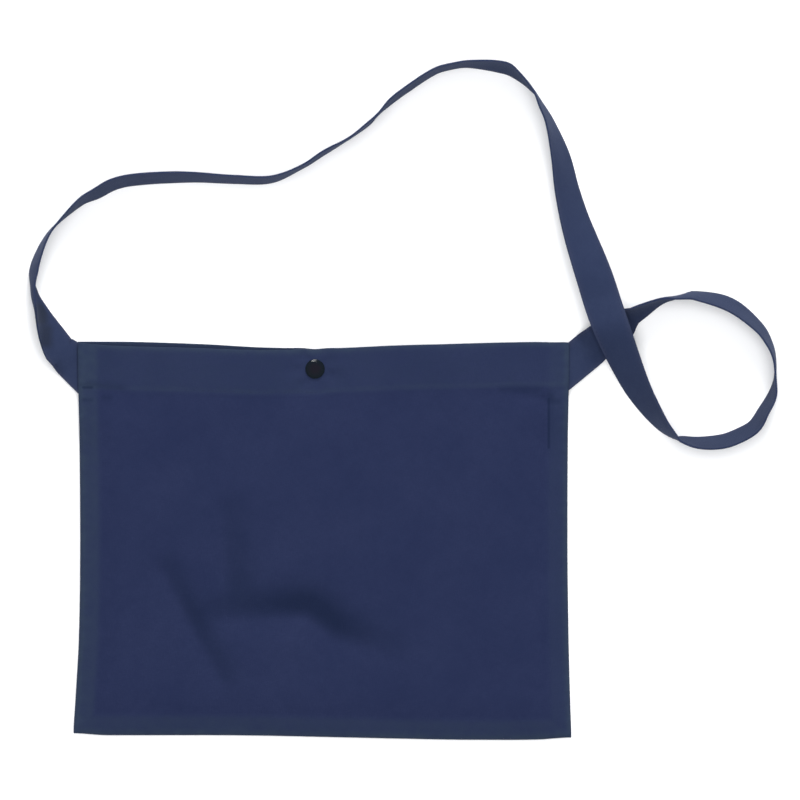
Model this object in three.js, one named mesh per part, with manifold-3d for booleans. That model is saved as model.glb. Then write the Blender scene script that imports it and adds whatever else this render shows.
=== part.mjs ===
import * as THREE from "three";
import { mergeVertices } from "three/addons/utils/BufferGeometryUtils.js";
import Module from "manifold-3d";

// A flat cotton shoulder bag with a snap at its mouth, lying on its back.
// Millimetres. X runs across the bag, Y up to its mouth and Z is its depth. The origin is under its middle.

// Bag
const mouthWidth = 380;
const bagHeight = 307;
const ply = 1.1; // one layer of cotton
const turnIn = 0.9; // what a turned-in layer adds inside
const clearance = 0.3; // between pieces that touch
const seamAllowance = 16;
const seamRound = 3; // how far in an edge comes to its full thickness
const hemDepth = 35;
const fullness = 7; // how far the front stands off its seams
const seamRise = 40; // from a seam to the full depth
const gape = 8; // how far the mouth stands open beside the snap
const mouthReach = 75; // how far down the bag its mouth's shape is felt
const clothStep = 12; // mesh size of the dented front
const flatStep = 45; // mesh size of the flat back

// Strap
const strapWidth = 29;
const strapThickness = 1.8;
const strapReach = 220; // from the mouth to the top of the big loop
const strapSewnIn = 13; // past the side seams
const leftAngle = 45; // degrees above level, where the strap leaves the bag
const rightAngle = 39.5;
const leftEase = 0.8; // past the left corner, where the strap has already turned a little
const leftLean = 11; // degrees it has turned there
const levelShare = 0.88; // of the way to there, up to where it lies flat
const rightEase = 6.3; // past the right corner, up to where it lies flat
const seamStations = 5;
const strapStep = 8;

// Snap
const snapOffset = -7; // from the middle of the bag
const snapBelowMouth = 21; // from the corners' level
const capRadius = 7.5;
const capHeight = 2.2;
const backCapRadius = 6;
const backCapThickness = 1;
const postRadius = 2;
const socketRadius = 5.6;
const socketHeight = 2.8;
const socketRoof = 0.8;
const studRadius = 5.2;
const studFlange = 0.7;
const knobRadius = 2.3;
const knobHeight = 2;
const pucker = 24; // how far the cloth is drawn in around the snap

const halfMouth = mouthWidth / 2;
const halfHeight = bagHeight / 2;
const doubled = ply + turnIn;
const seamStack = 2 * ply + clearance;
const strapSeat = doubled + clearance;
const strapStack = strapThickness + clearance;
const snapY = halfHeight - snapBelowMouth;
const snapFlat = capRadius + 1;

// Side seams from the bottom to the mouth, as shares of half the mouth's width
const sideRows = [
  { up: 0, left: 1.024, right: 1.01 },
  { up: 0.08, left: 1.017, right: 1.006 },
  { up: 0.25, left: 1.002, right: 0.999 },
  { up: 0.5, left: 0.997, right: 0.9945 },
  { up: 0.75, left: 1, right: 0.996 },
  { up: 1, left: 1.0075, right: 1.002 },
];

// Bottom seam and both mouth edges as shares of the height, and the mouth's opening as a share of its gape
const acrossRows = [
  { across: -1, bottom: 0.0095, front: -0.003, back: 0.001, open: 0 },
  { across: -0.86, bottom: 0.0035, front: -0.006, back: 0.001, open: 0.5 },
  { across: -0.5, bottom: 0.0035, front: -0.012, back: -0.005, open: 1 },
  { across: -0.25, bottom: 0.0035, front: -0.019, back: -0.014, open: 0.86 },
  { across: 0, bottom: 0.0005, front: -0.019, back: -0.017, open: 0.72 },
  { across: 0.3, bottom: -0.0035, front: -0.01, back: -0.011, open: 0.88 },
  { across: 0.6, bottom: -0.0075, front: -0.004, back: -0.003, open: 0.95 },
  { across: 0.86, bottom: -0.0075, front: 0, back: 0, open: 0.5 },
  { across: 1, bottom: -0.0005, front: -0.001, back: -0.001, open: 0 },
];

// Dents of the front: their ends as shares of half the mouth and of half the height, their depth as a share
// of the fullness and their spread as a share of the height
const dentRows = [
  { fromX: -0.66, fromY: -0.15, toX: -0.37, toY: -0.69, depth: 0.3, spread: 0.04 },
  { fromX: -0.39, fromY: -0.32, toX: -0.19, toY: -0.27, depth: 0.2, spread: 0.045 },
  { fromX: -0.16, fromY: -0.26, toX: 0.2, toY: -0.51, depth: 0.38, spread: 0.045 },
  { fromX: -0.38, fromY: 0.12, toX: -0.24, toY: -0.14, depth: 0.2, spread: 0.07 },
  { fromX: -0.34, fromY: -0.42, toX: -0.14, toY: -0.53, depth: -0.16, spread: 0.05 },
  { fromX: 0.9, fromY: 0.74, toX: 0.9, toY: 0.44, depth: 0.16, spread: 0.03 },
];

// The strap's course from the left seam to the right one. Across is a share of half the mouth, reach of the
// strap's reach above the corners, lift of its width. Roll is how far it is turned about its course, from its
// face up, and curl how much more its outer edge is turned than its inner one, in degrees.
const strapRows = [
  { across: -1.077, reach: -0.03, roll: 30, curl: 34, lift: 0.05 },
  { across: -1.113, reach: 0.025, roll: 47, curl: 40, lift: 0 },
  { across: -1.14, reach: 0.078, roll: 63, curl: 50, lift: 0 },
  { across: -1.1575, reach: 0.115, roll: 74, curl: 58, lift: 0 },
  { across: -1.1785, reach: 0.156, roll: 85, curl: 56, lift: 0 },
  { across: -1.187, reach: 0.188, roll: 90, curl: 50, lift: 0 },
  { across: -1.185, reach: 0.251, roll: 104, curl: 24, lift: 0 },
  { across: -1.164, reach: 0.312, roll: 101, curl: 8, lift: 0 },
  { across: -1.129, reach: 0.375, roll: 95, curl: 4, lift: 0 },
  { across: -1.09, reach: 0.417, roll: 91, curl: 0, lift: 0 },
  { across: -0.99, reach: 0.497, roll: 83, curl: 0, lift: 0 },
  { across: -0.928, reach: 0.525, roll: 77, curl: 0, lift: 0 },
  { across: -0.865, reach: 0.555, roll: 75, curl: 0, lift: 0 },
  { across: -0.795, reach: 0.571, roll: 75, curl: 0, lift: 0 },
  { across: -0.65, reach: 0.581, roll: 77, curl: 0, lift: 0 },
  { across: -0.53, reach: 0.582, roll: 79, curl: 0, lift: 0 },
  { across: -0.357, reach: 0.574, roll: 80, curl: 0, lift: 0 },
  { across: -0.212, reach: 0.575, roll: 83, curl: 0, lift: 0 },
  { across: -0.083, reach: 0.622, roll: 88, curl: 0, lift: 0 },
  { across: -0.003, reach: 0.667, roll: 87, curl: 0, lift: 0 },
  { across: 0.105, reach: 0.721, roll: 90, curl: 0, lift: 0 },
  { across: 0.182, reach: 0.771, roll: 88.5, curl: 0, lift: 0 },
  { across: 0.218, reach: 0.802, roll: 90, curl: 0, lift: 0 },
  { across: 0.271, reach: 0.848, roll: 85, curl: 0, lift: 0 },
  { across: 0.328, reach: 0.886, roll: 84, curl: 0, lift: 0 },
  { across: 0.451, reach: 0.955, roll: 85, curl: 0, lift: 0 },
  { across: 0.521, reach: 0.973, roll: 85, curl: 0, lift: 0 },
  { across: 0.594, reach: 0.981, roll: 83, curl: 6, lift: 0 },
  { across: 0.74, reach: 0.967, roll: 76, curl: 16, lift: 0 },
  { across: 0.788, reach: 0.941, roll: 82, curl: 14, lift: 0 },
  { across: 0.853, reach: 0.887, roll: 90, curl: 12, lift: 0 },
  { across: 0.884, reach: 0.835, roll: 96.5, curl: 5, lift: 0 },
  { across: 0.919, reach: 0.776, roll: 102, curl: 0, lift: 0 },
  { across: 0.963, reach: 0.656, roll: 117, curl: 0, lift: 0 },
  { across: 0.991, reach: 0.531, roll: 130, curl: 0, lift: 0.05 },
  { across: 1.03, reach: 0.41, roll: 143, curl: 0, lift: 0.2 },
  { across: 1.102, reach: 0.229, roll: 170, curl: 0, lift: 0.64 },
  { across: 1.157, reach: 0.083, roll: 190, curl: 0, lift: 0.72 },
  { across: 1.228, reach: -0.067, roll: 215, curl: 0, lift: 0.24 },
  { across: 1.291, reach: -0.179, roll: 232, curl: 0, lift: 0 },
  { across: 1.373, reach: -0.283, roll: 251, curl: 6, lift: 0 },
  { across: 1.43, reach: -0.331, roll: 265, curl: 20, lift: 0 },
  { across: 1.456, reach: -0.341, roll: 276, curl: 20, lift: 0 },
  { across: 1.53, reach: -0.354, roll: 286, curl: 6, lift: 0 },
  { across: 1.627, reach: -0.349, roll: 290, curl: 0, lift: 0 },
  { across: 1.7, reach: -0.326, roll: 289.5, curl: 0, lift: 0 },
  { across: 1.753, reach: -0.297, roll: 287, curl: 0, lift: 0 },
  { across: 1.788, reach: -0.248, roll: 283, curl: 0, lift: 0 },
  { across: 1.825, reach: -0.189, roll: 279, curl: 0, lift: 0 },
  { across: 1.837, reach: -0.13, roll: 270, curl: 0, lift: 0 },
  { across: 1.835, reach: -0.065, roll: 267, curl: 0, lift: 0 },
  { across: 1.818, reach: -0.014, roll: 261.5, curl: 0, lift: 0 },
  { across: 1.773, reach: 0.049, roll: 255, curl: 0, lift: 0 },
  { across: 1.658, reach: 0.13, roll: 250, curl: 0, lift: 0 },
  { across: 1.514, reach: 0.163, roll: 258, curl: 16, lift: 0 },
  { across: 1.468, reach: 0.159, roll: 266, curl: 26, lift: 0 },
  { across: 1.384, reach: 0.146, roll: 275, curl: 24, lift: 0 },
  { across: 1.291, reach: 0.105, roll: 293, curl: 36, lift: 0 },
  { across: 1.261, reach: 0.09, roll: 299, curl: 34, lift: 0 },
  { across: 1.21, reach: 0.06, roll: 336, curl: 20, lift: 0.02 },
  { across: 1.118, reach: 0, roll: 339, curl: 0, lift: 0.07 },
];

const wasm = await Module();
wasm.setup();

// How far a dome has risen at a distance in from its edge, from 0 to 1
function rise(distance, reach) {
  if (distance >= reach) return 1;
  return 1 - (1 - Math.max(distance, 0) / reach) ** 2;
}

// 1 inside a distance, falling smoothly to 0 at the end of its fade
function near(distance, inside, end) {
  return 1 - THREE.MathUtils.smoothstep(distance, inside, end);
}

// A smooth curve through one column of a table, read at a place along another column. Held, it stays level
// where two rows are alike and turns only at a row.
function through(rows, along, column, held = true) {
  const at = rows.map((row) => row[along]);
  const value = rows.map((row) => row[column]);
  const last = rows.length - 1;
  const slope = value.map((here, i) => {
    const before = Math.max(i - 1, 0);
    const after = Math.min(i + 1, last);
    if (held && (here - value[before]) * (value[after] - here) <= 0) return 0;
    return (value[after] - value[before]) / (at[after] - at[before]);
  });
  return (place) => {
    const x = THREE.MathUtils.clamp(place, at[0], at[last]);
    const i = Math.min(Math.max(at.findIndex((v) => v >= x) - 1, 0), last - 1);
    const span = at[i + 1] - at[i];
    const t = (x - at[i]) / span;
    const bend = slope[i] * span * t * (1 - t) ** 2 - slope[i + 1] * span * t * t * (1 - t);
    return value[i] + (value[i + 1] - value[i]) * t * t * (3 - 2 * t) + bend;
  };
}

const leftSide = through(sideRows, "up", "left");
const rightSide = through(sideRows, "up", "right");
const bottomLine = through(acrossRows, "across", "bottom");
const frontLine = through(acrossRows, "across", "front");
const backLine = through(acrossRows, "across", "back");
const openLine = through(acrossRows, "across", "open");

// Where a panel's grid point lies, and how far it is from each edge
function place(u, v, mouthLine) {
  const side = u < 0 ? leftSide(v) : rightSide(v);
  const bottom = bagHeight * (bottomLine(u) - 0.5);
  const mouth = bagHeight * (mouthLine(u) + 0.5);
  const y = bottom + (mouth - bottom) * v;
  const toSide = halfMouth * side * (1 - Math.abs(u));
  return { u, x: halfMouth * side * u, y, toSide, toBottom: y - bottom, toMouth: mouth - y };
}

// Cloth lies double along the seams and in the hem
function thickness(p) {
  const inMargin = Math.min(p.toSide, p.toBottom) < seamAllowance + 0.5 || p.toMouth < hemDepth + 0.5;
  return ply + (inMargin ? turnIn : 0) * rise(Math.min(p.toSide, p.toBottom), seamRound);
}

// 1 over the strap's sewn-in end, fading past it
function overStrap(p) {
  const angle = THREE.MathUtils.degToRad(p.u < 0 ? leftAngle : rightAngle);
  const depth = strapWidth / Math.cos(angle) + strapSewnIn * Math.tan(angle);
  const along = near(halfHeight - p.y, depth + 2, depth + 30);
  return along * near(p.toSide, strapSewnIn + 4, strapSewnIn + 45);
}

// 1 under the snap's discs, fading out over the cloth around them
function atSnap(p) {
  return near(Math.hypot(p.x - snapOffset, p.y - snapY), snapFlat * Math.SQRT2, pucker);
}

// The back panel lies flat, lifted only over the snap's back cap
function backUnderside(p) {
  return (backCapThickness + clearance) * atSnap(p);
}

const snapStack = {};
snapStack.backTop = backCapThickness + clearance + doubled;
snapStack.stud = snapStack.backTop + clearance;
snapStack.socket = snapStack.stud + studFlange + clearance;
snapStack.frontUnderside = snapStack.socket + socketHeight + clearance;
snapStack.cap = snapStack.frontUnderside + doubled + clearance;

function dents(p) {
  return dentRows.reduce((sum, row) => {
    const from = new THREE.Vector2(row.fromX * halfMouth, row.fromY * halfHeight);
    const course = new THREE.Vector2(row.toX * halfMouth, row.toY * halfHeight).sub(from);
    const point = new THREE.Vector2(p.x, p.y).sub(from);
    const share = THREE.MathUtils.clamp(point.dot(course) / course.lengthSq(), 0, 1);
    const away = point.distanceTo(course.clone().multiplyScalar(share));
    return sum + row.depth * fullness * Math.exp(-((away / (row.spread * bagHeight)) ** 2));
  }, 0);
}

// Outer surface of the front panel
function frontTop(p) {
  const strapHere = overStrap(p);
  const round = rise(Math.min(p.toSide, p.toBottom), seamRound);
  const stack = seamStack + turnIn * (Math.max(round, strapHere) + round) + strapStack * strapHere;
  const pillow = fullness * rise(p.toSide, seamRise) * rise(p.toBottom, seamRise);
  const atMouth = gape * openLine(p.u) * rise(p.toSide, seamRise);
  const body = pillow - dents(p) * rise(p.toSide, seamRise);
  const loft = THREE.MathUtils.lerp(body, atMouth, near(p.toMouth, 0, mouthReach));
  const snapTop = snapStack.frontUnderside + doubled;
  return THREE.MathUtils.lerp(stack + loft, snapTop, atSnap(p));
}

// Grid lines from 0 to 1 across a length: its two margins, evenly spaced cloth, and a few lines of its own
function gridLines(length, lowMargin, highMargin, step, extra) {
  const low = [0, seamRound / 2, seamRound, lowMargin, lowMargin + 1];
  const high = highMargin === seamAllowance ? [0, seamRound / 2, seamRound] : [0, highMargin / 2];
  high.push(highMargin, highMargin + 1);
  const start = lowMargin + 1;
  const end = length - highMargin - 1;
  const count = Math.max(Math.round((end - start) / step), 1);
  const between = (end - start) / count;
  const middle = Array.from({ length: count - 1 }, (_, i) => start + between * (i + 1));
  const clear = middle.filter((line) => extra.every((own) => Math.abs(own - line) > step / 3));
  const lines = [...low, ...clear, ...extra, ...high.map((line) => length - line)];
  return lines.sort((a, b) => a - b).map((line) => line / length);
}

function geometryOf(points, faces) {
  const geometry = new THREE.BufferGeometry();
  geometry.setAttribute("position", new THREE.Float32BufferAttribute(points.flat(), 3));
  geometry.setIndex(faces.flat());
  return geometry;
}

// A closed sheet between two heights over the same grid
function sheetGeometry(us, vs, mouthLine, topOf, undersideOf) {
  const points = [];
  const faces = [];
  const wide = us.length;
  const layer = wide * vs.length;
  const spots = vs.flatMap((v) => us.map((u) => place(u, v, mouthLine)));
  spots.forEach((p) => points.push([p.x, p.y, topOf(p)]));
  spots.forEach((p) => points.push([p.x, p.y, undersideOf(p)]));
  const quad = (a, b, c, d) => faces.push([a, b, c], [a, c, d]);
  for (let j = 0; j < vs.length - 1; j++) {
    for (let i = 0; i < wide - 1; i++) {
      const a = j * wide + i;
      quad(a, a + 1, a + wide + 1, a + wide);
      quad(layer + a, layer + a + wide, layer + a + wide + 1, layer + a + 1);
    }
  }
  const wall = (a, b) => quad(a, layer + a, layer + b, b);
  for (let i = 0; i < wide - 1; i++) {
    wall(i, i + 1);
    wall(layer - 1 - i, layer - 2 - i);
  }
  for (let j = 0; j < vs.length - 1; j++) {
    wall((j + 1) * wide, j * wide);
    wall((j + 1) * wide - 1, (j + 2) * wide - 1);
  }
  return geometryOf(points, faces);
}

// The strap as stations along its course: both seams with their straight ends, and the table between them
function strapStations() {
  const seam = (sideSign, degrees, ease, lean) => {
    const angle = THREE.MathUtils.degToRad(degrees);
    const along = new THREE.Vector2(sideSign * Math.cos(angle), Math.sin(angle));
    const drop = strapWidth / (2 * Math.cos(angle));
    const middle = new THREE.Vector2(sideSign * halfMouth, halfHeight - drop);
    const inside = (strapSewnIn + strapWidth) / Math.cos(angle);
    const outside = (strapWidth / 2) * Math.tan(angle) + ease;
    const flatRoll = sideSign < 0 ? 0 : 360;
    const station = (distance, turn = 0) => {
      const point = middle.clone().addScaledVector(along, distance);
      return { x: point.x, y: point.y, roll: flatRoll + turn, curl: 2 * turn, lift: strapSeat };
    };
    return [station(-inside), station(-inside / 2), station(0), station(outside * levelShare), station(outside, lean)];
  };
  const rows = strapRows.map((row) => ({
    x: row.across * halfMouth,
    y: halfHeight + row.reach * strapReach,
    roll: row.roll,
    curl: row.curl,
    lift: row.lift * strapWidth,
  }));
  const left = seam(-1, leftAngle, leftEase, leftLean);
  const right = seam(1, rightAngle, rightEase, 0).reverse();
  const stations = [...left, ...rows, ...right];
  stations.forEach((station, i) => {
    const previous = stations[i - 1];
    const step = previous ? Math.hypot(station.x - previous.x, station.y - previous.y) : 0;
    station.along = previous ? previous.along + step : 0;
  });
  return stations;
}

// One section of the strap: both faces from edge to edge, standing on its lift
function strapSection(x, y, heading, roll, curl, lift) {
  const facePoints = 5;
  const right = new THREE.Vector3(heading.y, -heading.x, 0);
  const up = new THREE.Vector3(0, 0, 1);
  const turned = (v) => THREE.MathUtils.degToRad(roll + curl * v);
  const middleLine = [new THREE.Vector3()];
  const step = 1 / (facePoints - 1);
  for (let i = 1; i < facePoints; i++) {
    const angle = turned((i - 0.5) * step - 0.5);
    const next = middleLine[i - 1].clone();
    next.addScaledVector(right, -Math.cos(angle) * strapWidth * step);
    middleLine.push(next.addScaledVector(up, Math.sin(angle) * strapWidth * step));
  }
  const face = (side) =>
    middleLine.map((point, i) => {
      const angle = turned(i * step - 0.5);
      const normal = up.clone().multiplyScalar(Math.cos(angle)).addScaledVector(right, Math.sin(angle));
      return point.clone().addScaledVector(normal, (side * strapThickness) / 2);
    });
  const ring = [...face(1), ...face(-1).reverse()];
  const sideways = ring.map((point) => point.dot(right));
  const shift = right.clone().multiplyScalar(-(Math.min(...sideways) + Math.max(...sideways)) / 2);
  const lowest = Math.min(...ring.map((point) => point.z));
  const offset = new THREE.Vector3(x, y, lift - lowest).add(shift);
  return ring.map((point) => point.add(offset).toArray());
}

// Sections stand on each of the seams' stations, and evenly between the two seams
function sectionPlaces(alongs) {
  const start = alongs[seamStations - 1];
  const end = alongs[alongs.length - seamStations];
  const steps = Math.round((end - start) / strapStep);
  const between = Array.from({ length: steps + 1 }, (_, i) => start + ((end - start) * i) / steps);
  return [...alongs.slice(0, seamStations - 1), ...between, ...alongs.slice(1 - seamStations)];
}

function strapGeometry() {
  const stations = strapStations();
  const [x, y] = ["x", "y"].map((column) => through(stations, "along", column, false));
  const [roll, curl, lift] = ["roll", "curl", "lift"].map((column) => through(stations, "along", column));
  const length = stations[stations.length - 1].along;
  const places = sectionPlaces(stations.map((station) => station.along));
  const count = places.length - 1;
  const sections = places.map((s) => {
    const ahead = Math.min(s + 1, length);
    const behind = Math.max(s - 1, 0);
    const heading = new THREE.Vector2(x(ahead) - x(behind), y(ahead) - y(behind)).normalize();
    return strapSection(x(s), y(s), heading, roll(s), curl(s), lift(s));
  });
  const size = sections[0].length;
  const faces = [];
  for (let k = 0; k < count; k++) {
    for (let i = 0; i < size; i++) {
      const a = k * size + i;
      const b = k * size + ((i + 1) % size);
      faces.push([a, b + size, b], [a, a + size, b + size]);
    }
  }
  const half = size / 2;
  const end = count * size;
  for (let i = 0; i < half - 1; i++) {
    const [a, b] = [i, i + 1];
    const [c, d] = [size - 1 - i, size - 2 - i];
    faces.push([a, d, c], [a, b, d]);
    faces.push([end + a, end + c, end + d], [end + a, end + d, end + b]);
  }
  return geometryOf(sections.flat(), faces);
}

function lathe(profile) {
  const points = profile.map(([radius, height]) => new THREE.Vector2(radius, height));
  const geometry = new THREE.LatheGeometry(points, 18);
  geometry.rotateX(Math.PI / 2);
  return geometry;
}

function solidOf(geometry) {
  const bare = geometry.clone();
  bare.deleteAttribute("normal");
  bare.deleteAttribute("uv");
  const merged = mergeVertices(bare, 1e-4);
  const vertProperties = new Float32Array(merged.attributes.position.array);
  const triVerts = new Uint32Array(merged.index.array);
  return new wasm.Manifold(new wasm.Mesh({ numProp: 3, vertProperties, triVerts }));
}

function geometryFrom(solid) {
  const mesh = solid.getMesh();
  const geometry = new THREE.BufferGeometry();
  geometry.setAttribute("position", new THREE.BufferAttribute(mesh.vertProperties, 3));
  geometry.setIndex(new THREE.BufferAttribute(mesh.triVerts, 1));
  return geometry;
}

const bag = new THREE.Group();
bag.name = "musette_bag";

function add(name, geometry, colour, roughness) {
  const material = new THREE.MeshStandardMaterial({ color: colour, roughness, metalness: 0 });
  geometry.computeVertexNormals();
  const mesh = new THREE.Mesh(geometry, material);
  mesh.name = name;
  bag.add(mesh);
  return mesh;
}

const cottonColour = 0x2b3456;
const strapColour = 0x343e5f;
const capColour = 0x15161c;

// Grid lines on both sides of the snap keep the cloth flat under its discs
const aroundSnap = (centre, reaches) => reaches.flatMap((reach) => [centre - reach, centre + reach]);
const linesAcross = aroundSnap(halfMouth + snapOffset, [snapFlat, pucker * 0.7]);
const linesUp = aroundSnap(halfHeight + snapY, [snapFlat]);

const postHole = new THREE.CylinderGeometry(postRadius + clearance, postRadius + clearance, 60, 16);
postHole.rotateX(Math.PI / 2);
postHole.translate(snapOffset, snapY, 0);

function panel(name, step, mouthLine, topOf, undersideOf) {
  const shares = gridLines(mouthWidth, seamAllowance, seamAllowance, step, linesAcross);
  const us = shares.map((share) => share * 2 - 1);
  const vs = gridLines(bagHeight, seamAllowance, hemDepth, step, linesUp);
  const sheet = solidOf(sheetGeometry(us, vs, mouthLine, topOf, undersideOf));
  add(name, geometryFrom(sheet.subtract(solidOf(postHole))), cottonColour, 0.9);
}

panel("front_panel", clothStep, frontLine, frontTop, (p) => frontTop(p) - thickness(p));
panel("back_panel", flatStep, backLine, (p) => backUnderside(p) + thickness(p), backUnderside);

// The strap's ends are cut off along the seams
function endTrim(side) {
  const inside = halfMouth - strapSewnIn;
  const block = new THREE.BoxGeometry(inside, bagHeight, strapWidth);
  return solidOf(block.translate((side * inside) / 2, 0, strapWidth / 2));
}

const strapSolid = solidOf(strapGeometry()).subtract(endTrim(-1)).subtract(endTrim(1));
add("strap", geometryFrom(strapSolid), strapColour, 0.85);

function addSnapPiece(name, profile, height, colour) {
  const mesh = add(name, lathe(profile), colour, 0.25);
  mesh.position.set(snapOffset, snapY, height);
}

const throughHem = doubled + clearance;
addSnapPiece(
  "snap_cap",
  [
    [0, -throughHem],
    [postRadius, -throughHem],
    [postRadius, 0],
    [capRadius * 0.94, 0],
    [capRadius, capHeight * 0.22],
    [capRadius * 0.96, capHeight * 0.5],
    [capRadius * 0.8, capHeight * 0.82],
    [capRadius * 0.45, capHeight * 0.97],
    [0, capHeight],
  ],
  snapStack.cap,
  capColour,
);

const boreRadius = knobRadius + clearance;
const boreDepth = socketHeight - socketRoof;
addSnapPiece(
  "snap_socket",
  [
    [0, boreDepth],
    [boreRadius, boreDepth],
    [boreRadius, 0],
    [socketRadius * 0.9, 0],
    [socketRadius, socketHeight * 0.2],
    [socketRadius, socketHeight * 0.8],
    [socketRadius * 0.9, socketHeight],
    [0, socketHeight],
  ],
  snapStack.socket,
  capColour,
);

addSnapPiece(
  "snap_stud",
  [
    [0, 0],
    [studRadius, 0],
    [studRadius, studFlange],
    [knobRadius * 0.8, studFlange],
    [knobRadius, studFlange + knobHeight * 0.6],
    [knobRadius * 0.8, studFlange + knobHeight],
    [0, studFlange + knobHeight],
  ],
  snapStack.stud,
  capColour,
);

addSnapPiece(
  "snap_back_cap",
  [
    [0, 0],
    [backCapRadius * 0.9, 0],
    [backCapRadius, backCapThickness * 0.4],
    [backCapRadius * 0.9, backCapThickness],
    [postRadius, backCapThickness],
    [postRadius, backCapThickness + throughHem],
    [0, backCapThickness + throughHem],
  ],
  0,
  capColour,
);

export default bag;
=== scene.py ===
import math
import random

import bpy
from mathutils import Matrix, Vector, noise


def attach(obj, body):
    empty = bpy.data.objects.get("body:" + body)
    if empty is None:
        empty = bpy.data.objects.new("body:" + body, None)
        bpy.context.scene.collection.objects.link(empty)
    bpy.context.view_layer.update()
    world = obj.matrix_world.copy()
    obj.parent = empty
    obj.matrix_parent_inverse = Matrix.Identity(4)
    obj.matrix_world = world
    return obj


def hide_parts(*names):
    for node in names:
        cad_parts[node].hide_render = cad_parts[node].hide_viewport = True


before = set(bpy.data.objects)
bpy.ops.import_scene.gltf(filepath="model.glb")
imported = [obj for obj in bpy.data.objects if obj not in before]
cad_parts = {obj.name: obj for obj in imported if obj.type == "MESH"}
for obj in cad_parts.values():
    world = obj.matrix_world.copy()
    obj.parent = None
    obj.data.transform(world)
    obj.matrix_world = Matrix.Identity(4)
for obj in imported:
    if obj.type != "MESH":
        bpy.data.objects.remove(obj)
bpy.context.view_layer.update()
bpy.ops.object.select_all(action="DESELECT")
print("frame loaded")

# The camera looks straight down on the bag as it lies. Lengths are in metres, and angles in degrees.
cameraSettings = {
    "middle": (0.0589, 0.1085, 0.012),  # what the middle of the picture looks at
    "distance": 7,
    "pictureWidth": 0.6202,  # what the picture takes in at that place
    "sensor": 36,  # in millimetres
    "sight": 20,
}


def addCamera():
    settings = cameraSettings
    above = Vector(settings["middle"]) + Vector((0, 0, settings["distance"]))
    bpy.ops.object.camera_add(location=above, rotation=(0, 0, 0))
    camera = bpy.context.object
    camera.name = "viewCamera"
    camera.data.sensor_width = settings["sensor"]
    camera.data.lens = settings["sensor"] * settings["distance"] / settings["pictureWidth"]
    camera.data.clip_end = settings["sight"]
    camera.data.dof.use_dof = False
    bpy.context.scene.camera = camera


addCamera()
print("camera placed")

# Sizes of the bag, as the solids have them
bagSizes = {
    "mouthWidth": 0.38,
    "height": 0.307,
    "ply": 0.0011,
    "turnIn": 0.0009,  # what turned-in cloth adds to a ply
    "clearance": 0.0003,
    "allowance": 0.016,
    "seamRound": 0.003,
    "hem": 0.035,
    "fullness": 0.007,  # how far the front stands off the back
    "seamRise": 0.04,
    "gape": 0.008,
    "mouthReach": 0.075,
}

snapSettings = {
    "x": -0.007,
    "below": 0.021,  # from the mouth to the snap
    "capRadius": 0.0075,
    "capHeight": 0.0022,
    "backCapRadius": 0.006,
    "backCapThickness": 0.001,
    "postRadius": 0.002,
    "socketRadius": 0.0056,
    "socketHeight": 0.0028,
    "studRadius": 0.0052,
    "studFlange": 0.0007,
    "knobRadius": 0.0023,
    "knobHeight": 0.002,
    "flatReach": 0.012,  # the cloth is held flat this far round the snap
    "pucker": 0.024,
    "notch": 0.0009,  # how far the mouth's edge dips over the snap
    "notchReach": 0.007,
}

halfMouth = bagSizes["mouthWidth"] / 2
halfHeight = bagSizes["height"] / 2
doubled = bagSizes["ply"] + bagSizes["turnIn"]
snapY = halfHeight - snapSettings["below"]

strapSettings = {
    "width": 0.029,
    "thickness": 0.0018,
    "edgeThickness": 0.0015,
    "edgeTaper": 0.004,
    "edgeRound": (1.7, 0.92),  # how full the selvedge is, and how much of its thickness it rounds
    "sewnIn": 0.013,
    "leftAngle": 45,
    "rightAngle": 39.5,
    "reach": 0.22,  # above the corners, to the highest part of its course
    "step": 0.003,
    "facePoints": 13,
    "seat": doubled + bagSizes["clearance"],
    "leftEase": 0.0008,  # past the left corner, where the strap has already turned a little
    "leftLean": 21,  # what it has turned there
    "levelShare": 0.25,  # of the way to there, up to where it lies flat
    "rightEase": 0.0063,  # past the right corner, up to where it lies flat
    "fallDown": (0.002, 0.03),  # how the front comes down from over the sewn-in end, below it
    "fallIn": (0.004, 0.045),  # and beside it
    "waver": 2.2,
    "waverPitch": 22,
    "waverFrom": (0.03, 0.08),  # from either end
    "stitchInset": 0.0024,
    "stitchDip": 0.00016,
    "stitchReach": 0.0008,
    "uneven": 0.00007,
    "unevenPitch": (60, 6),
    "wearAndLight": 0.75,
    "wearAndLightReach": 0.07,  # as a share of the width
    "smoothAngle": 50,
}


# Rows of a table, each a dictionary with the columns' names
def table(columns, *rows):
    return [dict(zip(columns, row)) for row in rows]


# Side seams from the bottom to the mouth, as shares of half the mouth's width
sideRows = table(
    ("up", "left", "right"),
    (0, 1.024, 1.01),
    (0.08, 1.017, 1.006),
    (0.25, 1.002, 0.999),
    (0.5, 0.997, 0.9945),
    (0.75, 1, 0.996),
    (1, 1.0075, 1.002),
)

# Bottom seam and both mouth edges as shares of the height, and the mouth's opening as a share of its gape
acrossRows = table(
    ("across", "bottom", "front", "back", "open"),
    (-1, 0.0105, -0.003, 0.001, 0),
    (-0.86, 0.0055, -0.009, 0.001, 0.5),
    (-0.5, 0.0057, -0.0155, -0.005, 1),
    (-0.25, 0.0045, -0.0205, -0.0135, 0.86),
    (0, 0.0012, -0.017, -0.0155, 0.72),
    (0.3, -0.003, -0.0085, -0.0095, 0.88),
    (0.6, -0.006, -0.004, -0.003, 0.95),
    (0.86, -0.0055, 0, 0, 0.5),
    (1, -0.0003, -0.001, -0.001, 0),
)

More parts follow.
